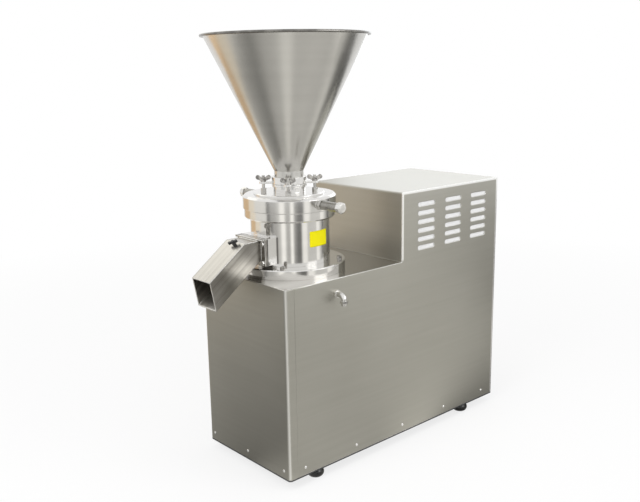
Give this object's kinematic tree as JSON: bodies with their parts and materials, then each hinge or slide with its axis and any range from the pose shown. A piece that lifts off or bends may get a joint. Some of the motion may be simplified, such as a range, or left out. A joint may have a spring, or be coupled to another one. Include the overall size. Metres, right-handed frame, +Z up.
{
  "type": "colloid mill",
  "caption": "Belt-driven vertical colloid mill on a sheet cabinet, with a feed hopper, a gap adjusting ring with handles and a sloping discharge chute.",
  "frame": {"origin": "on the floor under the middle of the machine's overall box", "axes": "+Z up, -Y towards the discharge chute at the front, +X towards the side with the water elbow"},
  "size_m": [0.4299, 0.967, 1.128],
  "materials": {
    "stainless": "brushed stainless sheet",
    "polished_steel": "turned and polished stainless steel",
    "dark_paint": "dark grey paint",
    "rubber": "matt black rubber",
    "felt": "white filter felt",
    "silicone": "white silicone gasket",
    "black_plastic": "black moulded plastic",
    "machine_steel": "machined steel",
    "seal_ceramic": "seal seat",
    "pulley_iron": "bare cast iron",
    "motor_paint": "grey-blue paint",
    "label_film": "plain yellow sticker film"
  },
  "bodies": {
    "cabinet": {"front_panel": "stainless", "side_panel_right": "stainless", "side_panel_left": "stainless", "deck_plate": "stainless", "hood_cover": "stainless", "rear_panel": "stainless", "chute": "stainless", "cabinet_rivets": "polished_steel", "base_disc": "polished_steel", "mill_bolts": "polished_steel", "mill_housing": "polished_steel", "chute_bolts": "polished_steel", "water_elbow": "polished_steel", "base_plate": "dark_paint", "mill_stand": "dark_paint", "motor_stand": "dark_paint", "bearing_housing": "dark_paint", "feet": "rubber", "v_belts": "rubber", "chute_gasket": "rubber", "vent_felts": "felt", "cable_gland": "black_plastic", "foot_screws": "machine_steel", "guide_screw": "machine_steel", "bearing_caps": "machine_steel", "ball_bearings": "machine_steel", "motor_bolts": "machine_steel", "seal_seat": "seal_ceramic", "motor_frame": "motor_paint", "motor_flange": "motor_paint", "motor_fan_cover": "motor_paint"},
    "gap_ring": {"adjusting_ring": "polished_steel", "handle_right": "polished_steel", "handle_left": "polished_steel", "handle_caps": "polished_steel", "handle_nuts": "polished_steel"},
    "stator_carrier": {"feed_cover": "polished_steel", "stator": "machine_steel", "stator_screws": "machine_steel", "hopper_studs": "polished_steel", "stud_nuts": "polished_steel", "hopper": "stainless", "hopper_rim": "stainless", "hopper_flange": "polished_steel", "hopper_gasket": "silicone"},
    "spindle": {"spindle": "machine_steel", "rotor": "machine_steel", "feed_impeller": "machine_steel", "bearing_inner_rings": "machine_steel", "seal_ring": "machine_steel", "driven_pulley": "pulley_iron"},
    "motor_rotor": {"motor_rotor": "machine_steel", "motor_fan": "black_plastic", "drive_pulley": "pulley_iron"},
    "wing_nut_1": {"wing_nut_1": "polished_steel"},
    "wing_nut_2": {"wing_nut_2": "polished_steel"},
    "wing_nut_3": {"wing_nut_3": "polished_steel"},
    "wing_nut_4": {"wing_nut_4": "polished_steel"},
    "chute_knob": {"chute_knob": "black_plastic"},
    "lock_lever": {"lock_lever": "polished_steel"}
  },
  "joints": [
    {"name": "gap_ring_turn", "type": "hinge", "parent": "cabinet", "child": "gap_ring", "pos_m": [0, -0.1975, 0.707], "axis": [0, 0, 1], "range_deg": [-90, 90]},
    {"name": "stator_lift", "type": "slide", "parent": "cabinet", "child": "stator_carrier", "axis": [0, 0, 1], "range_m": [-0.00101, 0.00101]},
    {"name": "motor_spin", "type": "hinge", "parent": "cabinet", "child": "motor_rotor", "pos_m": [0, 0.2575, 0.26], "axis": [0, 0, 1], "continuous": true},
    {"name": "spindle_spin", "type": "hinge", "parent": "cabinet", "child": "spindle", "pos_m": [0, -0.1975, 0.4], "axis": [0, 0, 1], "continuous": true},
    {"name": "wing_nut_1_turn", "type": "hinge", "parent": "stator_carrier", "child": "wing_nut_1", "pos_m": [0.04979, -0.24233, 0.76], "axis": [0, 0, 1], "continuous": true},
    {"name": "wing_nut_2_turn", "type": "hinge", "parent": "stator_carrier", "child": "wing_nut_2", "pos_m": [0.04483, -0.14771, 0.76], "axis": [0, 0, 1], "continuous": true},
    {"name": "wing_nut_3_turn", "type": "hinge", "parent": "stator_carrier", "child": "wing_nut_3", "pos_m": [-0.04979, -0.15267, 0.76], "axis": [0, 0, 1], "continuous": true},
    {"name": "wing_nut_4_turn", "type": "hinge", "parent": "stator_carrier", "child": "wing_nut_4", "pos_m": [-0.04483, -0.24729, 0.76], "axis": [0, 0, 1], "continuous": true},
    {"name": "chute_knob_turn", "type": "hinge", "parent": "cabinet", "child": "chute_knob", "pos_m": [0.006, -0.38321, 0.61665], "axis": [0, -0.5948, 0.8039], "continuous": true},
    {"name": "lock_lever_swing", "type": "hinge", "parent": "cabinet", "child": "lock_lever", "pos_m": [0.03214, -0.29641, 0.656], "axis": [0.309, -0.9511, 0], "range_deg": [-60, 60]}
  ],
  "couplings": [
    {"joint": "stator_lift", "follows": "gap_ring_turn", "m_per_rad": -0.00063662},
    {"joint": "spindle_spin", "follows": "motor_spin", "ratio": 1.25}
  ]
}
